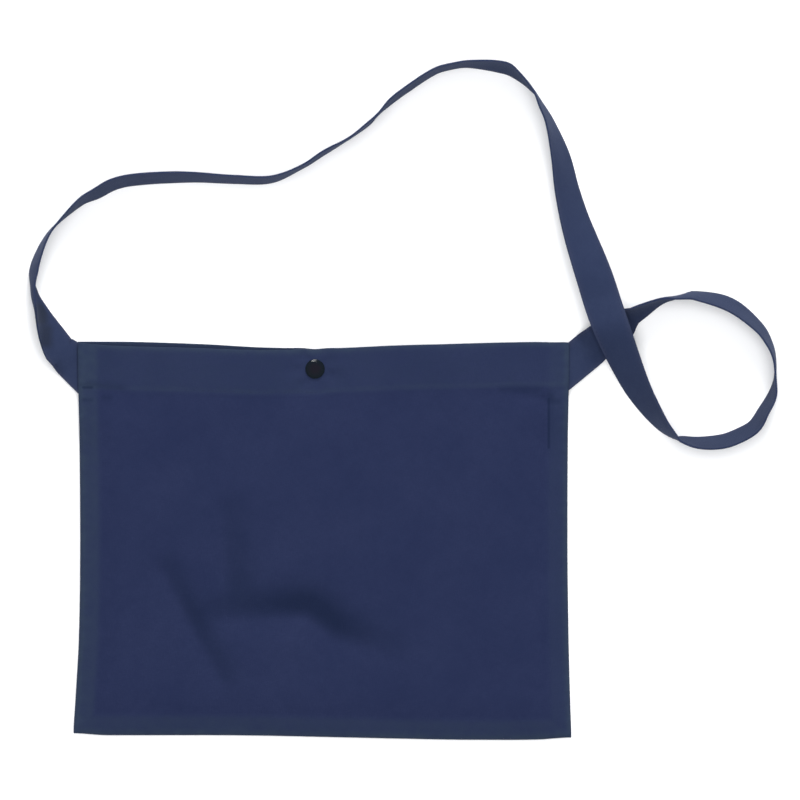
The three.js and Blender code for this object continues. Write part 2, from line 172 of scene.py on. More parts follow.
# Creases of the front: the valley line as places with their depth, and how wide the crease is above that line
# and below it. A negative depth is a swell.
creaseRows = table(
    ("upper", "lower", "valley"),
    (0.012, 0.011, [(-0.125, -0.027, 0.0017), (-0.108, -0.062, 0.0027), (-0.084, -0.105, 0.0017)]),
    (
        0.018,
        0.012,
        [(-0.076, -0.063, 0.002), (-0.015, -0.061, 0.0046), (0.006, -0.077, 0.004), (0.042, -0.088, 0.0012)],
    ),
    (0.017, 0.012, [(-0.082, 0.016, 0.0012), (-0.078, -0.028, 0.002)]),
    (0.009, 0.02, [(-0.064, -0.079, -0.0008), (-0.02, -0.081, -0.0006)]),
    (0.0035, 0.003, [(0.174, 0.112, 0.0014), (0.174, 0.064, 0.0005)]),
    (0.004, 0.0025, [(-0.184, 0.118, 0.0013), (-0.158, 0.115, 0.0013)]),
    (0.005, 0.004, [(0.15, 0.112, 0.0008), (0.172, 0.108, 0.0014)]),
)

creaseSettings = {
    "blunt": 0.3,  # of the crease's width, over which the valley line is rounded
    "fade": 0.012,  # creases die out this near a side seam
    # The last three set the painted shade on the creases' upper slopes
    "dark": 0.004,  # a crease this deep is as dark as one gets
    "shadeFrom": 0.3,  # how far round to the upper side the shade starts
    "shadeGain": 2.33,  # brings the middle of the slope to the full shade
}


def rise(distance, reach):
    if distance >= reach:
        return 1
    return 1 - (1 - max(distance, 0) / reach) ** 2


def smoothStep(value, low, high):
    share = min(max((value - low) / (high - low), 0), 1)
    return share * share * (3 - 2 * share)


def near(distance, inside, end):
    return 1 - smoothStep(distance, inside, end)


def bell(distance, reach):
    return math.exp(-((distance / reach) ** 2))


def mix(a, b, share):
    return a + (b - a) * share


# A smooth curve through one column of a table. A held one is level where the column turns back.
def curveThrough(rows, along, column, held=True):
    at = [row[along] for row in rows]
    value = [row[column] for row in rows]
    last = len(rows) - 1
    slope = []
    for i, here in enumerate(value):
        before = max(i - 1, 0)
        after = min(i + 1, last)
        level = held and (here - value[before]) * (value[after] - here) <= 0
        slope.append(0 if level else (value[after] - value[before]) / (at[after] - at[before]))

    def read(place):
        x = min(max(place, at[0]), at[last])
        i = 0
        while i < last - 1 and at[i + 1] < x:
            i += 1
        span = at[i + 1] - at[i]
        t = (x - at[i]) / span
        bend = slope[i] * span * t * (1 - t) ** 2 - slope[i + 1] * span * t * t * (1 - t)
        return value[i] + (value[i + 1] - value[i]) * t * t * (3 - 2 * t) + bend

    return read


leftSide = curveThrough(sideRows, "up", "left")
rightSide = curveThrough(sideRows, "up", "right")
bottomLine = curveThrough(acrossRows, "across", "bottom")
frontLine = curveThrough(acrossRows, "across", "front")
backLine = curveThrough(acrossRows, "across", "back")
openLine = curveThrough(acrossRows, "across", "open")


# A place on a panel, with its distances to the panel's edges
class PanelSpot:
    def __init__(self, u, v, mouthLine):
        snap = snapSettings
        side = leftSide(v) if u < 0 else rightSide(v)
        bottom = bagSizes["height"] * (bottomLine(u) - 0.5)
        mouth = bagSizes["height"] * (mouthLine(u) + 0.5)
        self.u = u
        self.x = halfMouth * side * u
        mouth -= snap["notch"] * bell(self.x - snap["x"], snap["notchReach"])
        self.y = bottom + (mouth - bottom) * v
        self.toSide = halfMouth * side * (1 - abs(u))
        self.toBottom = self.y - bottom
        self.toMouth = mouth - self.y
        self.toSeam = min(self.toSide, self.toBottom)
        self.toSnap = math.hypot(self.x - snap["x"], self.y - snapY)


def atSnap(spot):
    return near(spot.toSnap, snapSettings["flatReach"], snapSettings["pucker"])


# How far the front lies over a sewn-in end of the strap, from not at all to 1
def overStrap(spot):
    strap = strapSettings
    angle = math.radians(strap["leftAngle"] if spot.u < 0 else strap["rightAngle"])
    depth = strap["width"] / math.cos(angle) + strap["sewnIn"] * math.tan(angle)
    down = near(halfHeight - spot.y, *(depth + ease for ease in strap["fallDown"]))
    return down * near(spot.toSide, *(strap["sewnIn"] + ease for ease in strap["fallIn"]))


# Where a place lies by a crease: the depth at the nearest part of the valley, and the gap to it as a share of
# the crease's width, with how far the place is on the upper side
def besideCrease(point, row):
    nearest = None
    for first, second in zip(row["valley"], row["valley"][1:]):
        start = Vector(first[:2])
        course = Vector(second[:2]) - start
        share = min(max((point - start).dot(course) / course.length_squared, 0), 1)
        gap = point - start - course * share
        if nearest is None or gap.length < nearest[0].length:
            nearest = (gap, course, mix(first[2], second[2], share))
    gap, course, depth = nearest
    upwards = Vector((-course.y, course.x)).normalized()
    if upwards.y < 0:
        upwards.negate()
    upperSide = (gap.dot(upwards) / max(gap.length, 1e-6) + 1) / 2
    return depth, gap.length / mix(row["lower"], row["upper"], upperSide), upperSide


# A crease falls gently to its valley line on the upper side, and rises briskly from it on the lower one
def creaseDepth(x, y):
    blunt = creaseSettings["blunt"]
    total = 0
    for row in creaseRows:
        depth, gap, upperSide = besideCrease(Vector((x, y)), row)
        total += depth * mix(math.exp(blunt - math.hypot(gap, blunt)), bell(gap, 1), upperSide)
    return total


# Painted shade: darker on the upper slopes of the creases, which face away from the light
def creaseShade(spot):
    total = 0
    for row in creaseRows:
        depth, gap, upperSide = besideCrease(Vector((spot.x, spot.y)), row)
        slope = creaseSettings["shadeGain"] * gap * bell(gap, 1)
        upwards = smoothStep(upperSide, creaseSettings["shadeFrom"], 1)
        total += depth / creaseSettings["dark"] * upwards * slope
    return min(max(total, 0), 1)


reliefSettings = {
    "wave": 0.0006,  # broad, slow unevenness of the cloth
    "wavePitch": 15,
    "ripple": 0.00022,
    "ripplePitch": 42,
    "rippleFrom": (3, 1, 0),
    "calm": 0.012,  # both die out this near a seam
    "seamPucker": 0.00022,
    "seamPuckerPitch": 0.0085,
    "seamPuckerAt": 0.003,
    "seamPuckerReach": 0.005,
    "seamPuckerStray": (2.5, 60),  # how uneven their beat is, and its pitch
    "marginStep": 0.00035,  # what the turned-in cloth lifts the outside by
    "marginEdge": (0.0145, 0.0175),
    "hemStep": 0.00045,
    "hemEdge": (0.0342, 0.0365),
    "hemWander": 0.0006,
    "hemWanderPitch": 30,
    "stitchLine": 0.0328,  # below the mouth
    "stitchDip": 0.0004,
    "stitchReach": 0.0009,
    "tug": 0.0003,  # short puckers along the hem's stitches
    "tugPitch": 0.0066,
    "tugReach": 0.006,
    "tugStray": (2, 50),
    "tugPatches": 25,
    "snapFold": 0.0005,
    "snapFolds": ((7, 1.2, 1), (4, 0, 0.5)),  # how many go round, turned by how much, and their share
    "snapFoldRing": (0.0075, 0.013, 0.034),  # from nothing to full and out again
    "backShare": 0.35,  # how much of it the back has, which the floor presses flat
    "backSeed": 7,
}


# Small relief of a panel's outer side: unevenness, puckers at the seams and the hem, folds round the snap
def panelRelief(spot, seed):
    relief = reliefSettings
    here = Vector((spot.x, spot.y, seed))
    height = relief["wave"] * noise.noise(here * relief["wavePitch"])
    height += relief["ripple"] * noise.noise(here * relief["ripplePitch"] + Vector(relief["rippleFrom"]))
    height *= rise(spot.toSeam, relief["calm"])

    along = spot.y if spot.toSide < spot.toBottom else spot.x
    stray, strayPitch = relief["seamPuckerStray"]
    beat = math.sin(along * 2 * math.pi / relief["seamPuckerPitch"] + stray * noise.noise(here * strayPitch))
    beside = bell(spot.toSeam - relief["seamPuckerAt"], relief["seamPuckerReach"])
    height += relief["seamPucker"] * beat * beside
    height += relief["marginStep"] * near(spot.toSeam, *relief["marginEdge"])

    wander = relief["hemWander"] * noise.noise(Vector((spot.x * relief["hemWanderPitch"], 0, seed)))
    fromLine = spot.toMouth - relief["stitchLine"] + wander
    height += relief["hemStep"] * near(spot.toMouth + wander, *relief["hemEdge"]) * (1 - atSnap(spot))
    height -= relief["stitchDip"] * bell(fromLine, relief["stitchReach"])
    stray, strayPitch = relief["tugStray"]
    tug = math.sin(spot.x * 2 * math.pi / relief["tugPitch"] + stray * noise.noise(here * strayPitch))
    tug *= noise.noise(here * relief["tugPatches"])
    height += relief["tug"] * tug * bell(fromLine, relief["tugReach"])

    turn = math.atan2(spot.y - snapY, spot.x - snapSettings["x"])
    folds = sum(share * math.sin(count * turn + shift) for count, shift, share in relief["snapFolds"])
    start, full, end = relief["snapFoldRing"]
    folds *= smoothStep(spot.toSnap, start, full) * near(spot.toSnap, full, end)
    return height + relief["snapFold"] * folds


# Heights of the snap's pieces over the floor, each with its clearance to the one below
def snapHeights():
    s = snapSettings
    heights = {"stud": s["backCapThickness"] + doubled + 2 * bagSizes["clearance"]}
    heights["socket"] = heights["stud"] + s["studFlange"] + bagSizes["clearance"]
    heights["frontUnderside"] = heights["socket"] + s["socketHeight"] + bagSizes["clearance"]
    heights["cap"] = heights["frontUnderside"] + doubled + bagSizes["clearance"]
    return heights


def frontTop(spot):
    strapHere = overStrap(spot)
    edge = rise(spot.toSeam, bagSizes["seamRound"])
    stack = 2 * bagSizes["ply"] + bagSizes["clearance"] + bagSizes["turnIn"] * (max(edge, strapHere) + edge)
    stack += (strapSettings["thickness"] + bagSizes["clearance"]) * strapHere
    pillow = bagSizes["fullness"] * rise(spot.toSide, bagSizes["seamRise"])
    pillow *= rise(spot.toBottom, bagSizes["seamRise"])
    body = pillow - creaseDepth(spot.x, spot.y) * rise(spot.toSide, creaseSettings["fade"])
    mouth = bagSizes["gape"] * openLine(spot.u) * rise(spot.toSide, bagSizes["seamRise"])
    loft = mix(body, mouth, near(spot.toMouth, 0, bagSizes["mouthReach"]))
    snapTop = snapHeights()["frontUnderside"] + doubled
    return mix(stack + loft, snapTop, atSnap(spot)) + panelRelief(spot, 0)


def backUnderside(spot):
    lift = (snapSettings["backCapThickness"] + bagSizes["clearance"]) * atSnap(spot)
    return lift + max(-reliefSettings["backShare"] * panelRelief(spot, reliefSettings["backSeed"]), 0)


plySettings = {
    "margin": (0.0155, 0.0168),  # the turned-in cloth ends between these distances from the seam
    "hem": (0.0345, 0.0358),  # and from the mouth
}


# How thick the cloth is here, as a share of its double thickness
def plyShare(spot):
    inMargin = max(near(spot.toSeam, *plySettings["margin"]), near(spot.toMouth, *plySettings["hem"]))
    extra = bagSizes["turnIn"] * inMargin * rise(spot.toSeam, bagSizes["seamRound"])
    return (bagSizes["ply"] + extra) / doubled


# How much lighter the cloth is, from none to 1, and how far from each edge: wear, with the left margin and
# hem painted lighter than the right ones, as if lit from the left
wearAndLightSettings = {
    "seam": 0.9,
    "seamReach": 0.0035,
    "leftMargin": 0.56,
    "rightMargin": 0.27,
    "bottomMargin": 0.45,
    "marginEdge": (0.012, 0.018),
    "leftHem": 0.27,
    "rightHem": 0.17,
    "hemEdge": (0.03, 0.036),
    "mouth": 0.8,
    "mouthReach": 0.003,
    "stitchLine": 0.35,
    "stitchReach": 0.0018,
}


# Lighter where the cloth is handled and folded: the seams, the margins, the hem and its line of stitches.
# Part of it is painted light: the left side is lighter than the right, as if lit from the left.
def wearAndLightShare(spot):
    wearAndLight = wearAndLightSettings
    side = wearAndLight["leftMargin" if spot.u < 0 else "rightMargin"]
    margin = side if spot.toSide < spot.toBottom else wearAndLight["bottomMargin"]
    hem = mix(wearAndLight["leftHem"], wearAndLight["rightHem"], (spot.u + 1) / 2)
    total = wearAndLight["seam"] * bell(spot.toSeam, wearAndLight["seamReach"])
    total += margin * near(spot.toSeam, *wearAndLight["marginEdge"])
    total += hem * near(spot.toMouth, *wearAndLight["hemEdge"])
    total += wearAndLight["mouth"] * bell(spot.toMouth, wearAndLight["mouthReach"])
    total += wearAndLight["stitchLine"] * bell(spot.toMouth - reliefSettings["stitchLine"], wearAndLight["stitchReach"])
    return min(total, 1)


def applyModifier(kind, **values):
    bpy.ops.object.modifier_add(type=kind)
    modifier = bpy.context.object.modifiers[-1]
    for key, value in values.items():
        setattr(modifier, key, value)
    bpy.ops.object.modifier_apply(modifier=modifier.name)


def activate(piece):
    bpy.ops.object.select_all(action="DESELECT")
    piece.select_set(True)
    bpy.context.view_layer.objects.active = piece


# Edits the whole mesh of the active piece
def editAll(operator, **values):
    bpy.ops.object.mode_set(mode="EDIT")
    bpy.ops.mesh.select_all(action="SELECT")
    operator(**values)
    bpy.ops.object.mode_set(mode="OBJECT")


# A material in the making, with the few kinds of node that the finishes use
class Finish:
    def __init__(self, name):
        self.material = bpy.data.materials.new(name)
        self.material.use_nodes = True
        self.shader = self.material.node_tree.nodes["Principled BSDF"]
        self.place = self.add("ShaderNodeTexCoord").outputs

    def feed(self, node, values):
        for key, value in values.items():
            if isinstance(value, bpy.types.NodeSocket):
                self.material.node_tree.links.new(value, node.inputs[key])
            else:
                node.inputs[key].default_value = value

    def add(self, kind, values={}, **attributes):
        node = self.material.node_tree.nodes.new(kind)
        for key, value in attributes.items():
            setattr(node, key, value)
        self.feed(node, values)
        return node

    def spots(self, source, scale, detail, stretch=None):
        if stretch:
            source = self.add("ShaderNodeMapping", {"Vector": source, "Scale": stretch}).outputs["Vector"]
        values = {"Vector": source, "Scale": scale, "Detail": detail}
        return self.add("ShaderNodeTexNoise", values).outputs["Fac"]

    def stretched(self, value, low, high, newLow, newHigh):
        values = {"Value": value, "From Min": low, "From Max": high, "To Min": newLow, "To Max": newHigh}
        return self.add("ShaderNodeMapRange", values).outputs["Result"]

    def blend(self, factor, a, b):
        return self.add("ShaderNodeMix", {0: factor, 6: a, 7: b}, data_type="RGBA").outputs[2]

    def combine(self, operation, a, b=0):
        return self.add("ShaderNodeMath", {0: a, 1: b}, operation=operation).outputs["Value"]

    def bump(self, height, strength, distance, **under):
        values = {"Height": height, "Strength": strength, "Distance": distance}
        return self.add("ShaderNodeBump", values | under).outputs["Normal"]


# What all the cotton has. The ranges bring a pattern from its own low and high to a new low and high.
weaveSettings = {
    "threadPitch": 0.00055,
    "bands": 0.314,  # the wave texture's scale at which one thread is a metre wide
    "threadStray": 0.35,
    "threadRange": (0, 1, 0, 0.5),
    "slubScale": 260,
    "slubStretch": 9,
    "slubRange": (0.18, 0.36, 0, 0.45),
    "cloudScale": 22,
    "cloudRange": (0.35, 0.7, 0, 0.3),
    "mottleScale": 120,
    "mottleRange": (0.4, 0.75, 0, 0.25),
    "mottleBump": 0.6,
    "wornAndLitRange": (0.3, 0.7, 0.55, 1),
    "paintedShadeRange": (0, 1, 0, 0.7),
    "roughRange": (0.3, 0.7, 0.84, 0.95),
    "sheenRoughness": 0.45,
    "gloss": 0.06,
    "fineBump": (0.5, 0.00012),  # strength and distance
    "coarseBump": (0.45, 0.0003),
    "markFrom": 0.0034,  # the painted shade marks show only above the back panel, from this height on
    "markFull": 0.0042,
}


def cottonMaterial(settings):
    weave = weaveSettings
    finish = Finish(settings["name"])
    stretched = finish.stretched
    blend = finish.blend
    combine = finish.combine
    source = finish.place["UV" if settings["followsUv"] else "Object"]

    def threads(direction):
        wave = {"Vector": source, "Scale": weave["bands"] / weave["threadPitch"]}
        wave |= {"Distortion": weave["threadStray"], "Detail": 1, "Detail Scale": 2}
        return finish.add("ShaderNodeTexWave", wave, bands_direction=direction).outputs["Fac"]

    def attribute(name):
        return finish.add("ShaderNodeAttribute", attribute_name=name).outputs["Fac"]

    crossing = combine("MULTIPLY", threads("X"), threads("Y"))
    slubs = combine(
        "MULTIPLY",
        finish.spots(source, weave["slubScale"], 2, (1, weave["slubStretch"], 1)),
        finish.spots(source, weave["slubScale"], 2, (weave["slubStretch"], 1, 1)),
    )
    cloudy = finish.spots(source, weave["cloudScale"], 3)
    mottled = finish.spots(source, weave["mottleScale"], 4)

    yarn = blend(stretched(crossing, *weave["threadRange"]), settings["color"], settings["highColor"])
    yarn = blend(stretched(slubs, *weave["slubRange"]), yarn, settings["highColor"])
    yarn = blend(stretched(cloudy, *weave["cloudRange"]), yarn, settings["deepColor"])
    yarn = blend(stretched(mottled, *weave["mottleRange"]), yarn, settings["deepColor"])
    # Wear, and painted light: the panels' left side lighter than the right, and a painted sheen along the
    # strap's selvedges
    wornAndLit = combine("MULTIPLY", attribute("wearAndLight"), stretched(mottled, *weave["wornAndLitRange"]))
    yarn = blend(wornAndLit, yarn, settings["wornAndLitColor"])
    # Painted shade on the creases' upper slopes, which face away from the light
    yarn = blend(stretched(attribute("paintedCreaseShade"), *weave["paintedShadeRange"]), yarn, settings["paintedShadeColor"])

    # Painted shade patches, each soft-edged: along short pressed lines and tucks, and where the strap's face
    # turns from the light
    parts = finish.add("ShaderNodeSeparateXYZ", {"Vector": finish.place["Object"]}).outputs
    for mark in settings["marks"]:
        share = stretched(parts["Z"], weave["markFrom"], weave["markFull"], 0, mark["dark"])
        for axis, middle, half in zip("XY", mark["at"], mark["half"]):
            away = combine("ABSOLUTE", combine("SUBTRACT", parts[axis], middle))
            share = combine("MULTIPLY", share, stretched(away, half, half + mark["soft"], 1, 0))
        yarn = blend(share, yarn, settings["paintedShadeColor"])

    rough = combine("ADD", slubs, combine("MULTIPLY", mottled, weave["mottleBump"]))
    coarse = finish.bump(rough, *weave["coarseBump"])
    finish.feed(finish.shader, {
        "Base Color": yarn,
        "Roughness": stretched(cloudy, *weave["roughRange"]),
        "Specular IOR Level": weave["gloss"],
        "Sheen Weight": settings["sheen"],
        "Sheen Roughness": weave["sheenRoughness"],
        "Sheen Tint": settings["sheenTint"],
        "Normal": finish.bump(crossing, *weave["fineBump"], Normal=coarse),
    })
    return finish.material


markColumns = ("at", "half", "soft", "dark")

panelCotton = cottonMaterial({
    "name": "panelCotton",
    "followsUv": False,
    "color": (0.0134, 0.0192, 0.0545, 1),
    "highColor": (0.0197, 0.0273, 0.0688, 1),
    "deepColor": (0.0099, 0.0152, 0.0462, 1),
    "wornAndLitColor": (0.0237, 0.036, 0.064, 1),
    "paintedShadeColor": (0.0054, 0.0107, 0.0316, 1),
    # Painted shade along short pressed lines: the right margin's crease and the hem's corners
    "marks": table(
        markColumns,
        ((0.1743, 0.0905), (0.0003, 0.019), 0.0013, 0.62),
        ((0.178, 0.1075), (0.0045, 0.0004), 0.003, 0.3),
        ((0.152, 0.117), (0.015, 0.0004), 0.004, 0.3),
        ((-0.1835, 0.1182), (0.0035, 0.0003), 0.0014, 0.55),
        ((-0.1835, 0.1085), (0.0035, 0.0003), 0.002, 0.3),
        ((-0.168, 0.1105), (0.003, 0.0005), 0.003, 0.25),
    ),
    "sheen": 0.05,
    "sheenTint": (0.6, 0.7, 0.95, 1),
})

strapCotton = cottonMaterial({
    "name": "strapCotton",
    "followsUv": True,
    "color": (0.0185, 0.0271, 0.062, 1),
    "highColor": (0.0274, 0.0381, 0.0791, 1),
    "deepColor": (0.0138, 0.0205, 0.0515, 1),
    "wornAndLitColor": (0.0315, 0.0381, 0.0734, 1),
    "paintedShadeColor": (0.0125, 0.0165, 0.027, 1),
    # Painted shade on the strap's face where it turns from the light under its left twist
    "marks": table(
        markColumns,
        ((-0.219, 0.1752), (0.002, 0.006), 0.005, 0.75),
        ((-0.2155, 0.158), (0.002, 0.006), 0.005, 0.6),
    ),
    "sheen": 0.07,
    "sheenTint": (0.62, 0.72, 1, 1),
})

enamelSettings = {
    # The cap's middle is painted lighter and redder and its rim darker: a painted reflection of the room on
    # the dome
    "litMiddleColor": (0.0038, 0.0033, 0.0079, 1),
    "shadedRimColor": (0.0009, 0.0042, 0.0079, 1),
    "rim": (0.0025, 0.0065),  # from the snap's middle, where the one goes over into the other
    "scuffScale": 900,
    "roughRange": (0.45, 0.75, 0.07, 0.16),
    "gloss": 0.2,
}


def enamelMaterial():
    finish = Finish("blackEnamel")
    place = finish.place["Object"]
    middle = (snapSettings["x"], snapY, 0)
    away = finish.add("ShaderNodeVectorMath", {0: place, 1: middle}, operation="SUBTRACT").outputs["Vector"]
    flat = finish.add("ShaderNodeVectorMath", {0: away, 1: (1, 1, 0)}, operation="MULTIPLY").outputs["Vector"]
    distance = finish.add("ShaderNodeVectorMath", {0: flat}, operation="LENGTH").outputs["Value"]
    # Painted reflection: lighter middle, darker rim
    rim = finish.stretched(distance, *enamelSettings["rim"], 0, 1)
    scuffs = finish.spots(place, enamelSettings["scuffScale"], 4)
    finish.feed(finish.shader, {
        "Base Color": finish.blend(rim, enamelSettings["litMiddleColor"], enamelSettings["shadedRimColor"]),
        "Roughness": finish.stretched(scuffs, *enamelSettings["roughRange"]),
        "Specular IOR Level": enamelSettings["gloss"],
    })
    return finish.material


lacquerSettings = {
    "color": (0.01, 0.01, 0.012, 1),
    "lightColor": (0.025, 0.025, 0.029, 1),
    "grainScale": 1400,
    "roughRange": (0, 1, 0.25, 0.5),
    "metal": 0.6,
}


def lacquerMaterial():
    finish = Finish("darkLacquer")
    grain = finish.spots(finish.place["Object"], lacquerSettings["grainScale"], 3)
    finish.feed(finish.shader, {
        "Base Color": finish.blend(grain, lacquerSettings["color"], lacquerSettings["lightColor"]),
        "Roughness": finish.stretched(grain, *lacquerSettings["roughRange"]),
        "Metallic": lacquerSettings["metal"],
    })
    return finish.material


threadSettings = {
    "color": (0.0095, 0.014, 0.041, 1),
    "lightColor": (0.0155, 0.022, 0.056, 1),
    "fibreScale": 1600,
    "roughness": 0.85,
    "gloss": 0.1,
    "bump": (0.6, 0.00008),
}


def threadMaterial():
    finish = Finish("sewingThread")
    fibre = finish.spots(finish.place["Object"], threadSettings["fibreScale"], 2)
    finish.feed(finish.shader, {
        "Base Color": finish.blend(fibre, threadSettings["color"], threadSettings["lightColor"]),
        "Roughness": threadSettings["roughness"],
        "Specular IOR Level": threadSettings["gloss"],
        "Normal": finish.bump(fibre, *threadSettings["bump"]),
    })
    return finish.material


blackEnamel = enamelMaterial()
darkLacquer = lacquerMaterial()
sewingThread = threadMaterial()
print("materials made")

panelSettings = {
    "columns": 176,
    "rows": 142,
    "edgeCrowding": 0.14,  # how much closer the lines stand near the edges
    "edgeRound": 0.00042,
    "edgeSegments": 3,
    "edgeAngle": 55,
    "smoothAngle": 40,
    "holeSides": 24,
    "punchLength": 0.06,
}


def crowded(share):
    k = panelSettings["edgeCrowding"]
    return share * (1 + k) - k * share**3


# One panel: a grid laid on the bag's shape, given its thickness, its edges rounded and its snap hole cut
def addPanel(name, node, mouthLine, heightOf, outwards):
    bpy.ops.mesh.primitive_grid_add(
        x_subdivisions=panelSettings["columns"], y_subdivisions=panelSettings["rows"], size=2
    )
    panel = bpy.context.object
    panel.name = name
    panel.data.name = name
    thick = panel.vertex_groups.new(name="thick")
    wornAndLit = []
    paintedShades = []
    for vertex in panel.data.vertices:
        spot = PanelSpot(crowded(vertex.co.x), (crowded(vertex.co.y) + 1) / 2, mouthLine)
        vertex.co = (spot.x, spot.y, heightOf(spot))
        thick.add([vertex.index], plyShare(spot), "REPLACE")
        wornAndLit.append(wearAndLightShare(spot))
        # Painted shade on the creases, for the front only
        paintedShades.append(creaseShade(spot) if outwards else 0)
    panel.data.attributes.new("wearAndLight", "FLOAT", "POINT").data.foreach_set("value", wornAndLit)
    panel.data.attributes.new("paintedCreaseShade", "FLOAT", "POINT").data.foreach_set("value", paintedShades)
    if not outwards:
        editAll(bpy.ops.mesh.flip_normals)
    applyModifier("SOLIDIFY", thickness=doubled, offset=-1, vertex_group="thick")
    applyModifier(
        "BEVEL",
        width=panelSettings["edgeRound"],
        segments=panelSettings["edgeSegments"],
        limit_method="ANGLE",
        angle_limit=math.radians(panelSettings["edgeAngle"]),
    )
    bpy.ops.mesh.primitive_cylinder_add(
        vertices=panelSettings["holeSides"],
        radius=snapSettings["postRadius"] + bagSizes["clearance"],
        depth=panelSettings["punchLength"],
        location=(snapSettings["x"], snapY, 0),
    )
    punch = bpy.context.object
    activate(panel)
    applyModifier("BOOLEAN", object=punch, operation="DIFFERENCE", solver="EXACT")
    bpy.data.objects.remove(punch)
    panel.vertex_groups.clear()
    bpy.ops.object.shade_smooth_by_angle(angle=math.radians(panelSettings["smoothAngle"]))
    panel.data.materials.append(panelCotton)
    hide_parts(node)
    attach(panel, "root")
    return panel


frontPanel = addPanel("frontPanel", "front_panel", frontLine, frontTop, True)
print("front panel made")

backPanel = addPanel("backPanel", "back_panel", backLine, backUnderside, False)
print("back panel made")

# The strap's course from the left seam to the right one. Across is a share of half the mouth, reach of the
# strap's reach above the corners, lift of its width. Roll turns the whole section and curl bows it.
strapRows = table(
    ("across", "reach", "roll", "curl", "lift"),
    (-1.077, -0.03, 30, 34, 0.05),
    (-1.1115, 0.025, 46, 40, 0),
    (-1.1385, 0.078, 62, 50, 0),
    (-1.156, 0.115, 73, 58, 0),
    (-1.177, 0.156, 84, 56, 0),
    (-1.1855, 0.188, 90, 50, 0),
    (-1.1835, 0.251, 105, 24, 0),
    (-1.1625, 0.312, 102, 8, 0),
    (-1.128, 0.374, 96, 4, 0),
    (-1.089, 0.416, 92, 0, 0),
    (-0.989, 0.496, 82, 0, 0),
    (-0.928, 0.5232, 76, 0, 0),
    (-0.865, 0.5532, 74, 0, 0),
    (-0.795, 0.5692, 74, 0, 0),
    (-0.65, 0.5792, 76, 0, 0),
    (-0.53, 0.5802, 78, 0, 0),
    (-0.357, 0.5722, 79, 0, 0),
    (-0.212, 0.5732, 82, 0, 0),
    (-0.083, 0.6202, 87, 0, 0),
    (-0.003, 0.6652, 86, 0, 0),
    (0.105, 0.7192, 90, 0, 0),
    (0.182, 0.7692, 87.5, 0, 0),
    (0.218, 0.8002, 90, 0, 0),
    (0.271, 0.8462, 84, 0, 0),
    (0.328, 0.8842, 83, 0, 0),
    (0.451, 0.9532, 84, 0, 0),
    (0.521, 0.9712, 84, 0, 0),
    (0.594, 0.9792, 82, 6, 0),
    (0.74, 0.9652, 75, 16, 0),
    (0.788, 0.9392, 81, 14, 0),
    (0.853, 0.8852, 90, 12, 0),
    (0.8855, 0.835, 98, 5, 0),
    (0.9205, 0.776, 103.5, 0, 0),
    (0.9645, 0.656, 118.5, 0, 0),
    (0.9925, 0.531, 131.5, 0, 0.05),
    (1.03, 0.41, 143, 0, 0.2),
    (1.102, 0.229, 170, 0, 0.64),
    (1.157, 0.083, 190, 0, 0.72),
    (1.228, -0.067, 215, 0, 0.24),
    (1.291, -0.179, 232, 0, 0),
    (1.373, -0.2845, 250, 6, 0),
    (1.43, -0.3325, 264, 20, 0),
    (1.456, -0.3425, 277, 20, 0),
    (1.53, -0.3555, 287, 6, 0),
    (1.627, -0.3505, 291, 0, 0),
    (1.7, -0.3275, 290.5, 0, 0),
    (1.756, -0.297, 288, 0, 0),
    (1.791, -0.248, 284, 0, 0),
    (1.828, -0.189, 280, 0, 0),
    (1.84, -0.13, 270, 0, 0),
    (1.838, -0.065, 266, 0, 0),
    (1.821, -0.014, 260.5, 0, 0),
    (1.776, 0.049, 254, 0, 0),
    (1.658, 0.13, 248.5, 0, 0),
    (1.514, 0.163, 256.5, 16, 0),
    (1.468, 0.159, 264.5, 26, 0),
    (1.384, 0.146, 276.5, 24, 0),
    (1.291, 0.105, 293, 36, 0),
    (1.261, 0.09, 299, 34, 0),
    (1.21, 0.06, 336, 20, 0.02),
    (1.118, 0, 339, 0, 0.07),
)


# The sewn-in end, the seam, and two places past it: where the strap still lies flat, and where it leaves with
# its lean
def seamStations(sideSign, degrees, ease, lean):
    strap = strapSettings
    angle = math.radians(degrees)
    along = Vector((sideSign * math.cos(angle), math.sin(angle)))
    middle = Vector((sideSign * halfMouth, halfHeight - strap["width"] / (2 * math.cos(angle))))
    outside = strap["width"] / 2 * math.tan(angle) + ease
    flatRoll = 0 if sideSign < 0 else 360
    level = outside * strap["levelShare"]
    distances = (-strap["sewnIn"] / math.cos(angle), 0, level, outside)
    stations = []
    for distance, turn in zip(distances, (0, 0, 0, lean)):
        point = middle + along * distance
        station = {"x": point.x, "y": point.y, "roll": flatRoll + turn, "curl": 2 * turn}
        stations.append(station | {"lift": strap["seat"]})
    return stations


def strapStations():
    strap = strapSettings
    rows = []
    for row in strapRows:
        place = {"x": row["across"] * halfMouth, "y": halfHeight + row["reach"] * strap["reach"]}
        turn = {"roll": row["roll"], "curl": row["curl"], "lift": row["lift"] * strap["width"]}
        rows.append(place | turn)
    left = seamStations(-1, strap["leftAngle"], strap["leftEase"], strap["leftLean"])
    right = seamStations(1, strap["rightAngle"], strap["rightEase"], 0)
    stations = left + rows + right[::-1]
    along = 0
    for before, station in zip([stations[0]] + stations, stations):
        along += math.hypot(station["x"] - before["x"], station["y"] - before["y"])
        station["along"] = along
    return stations


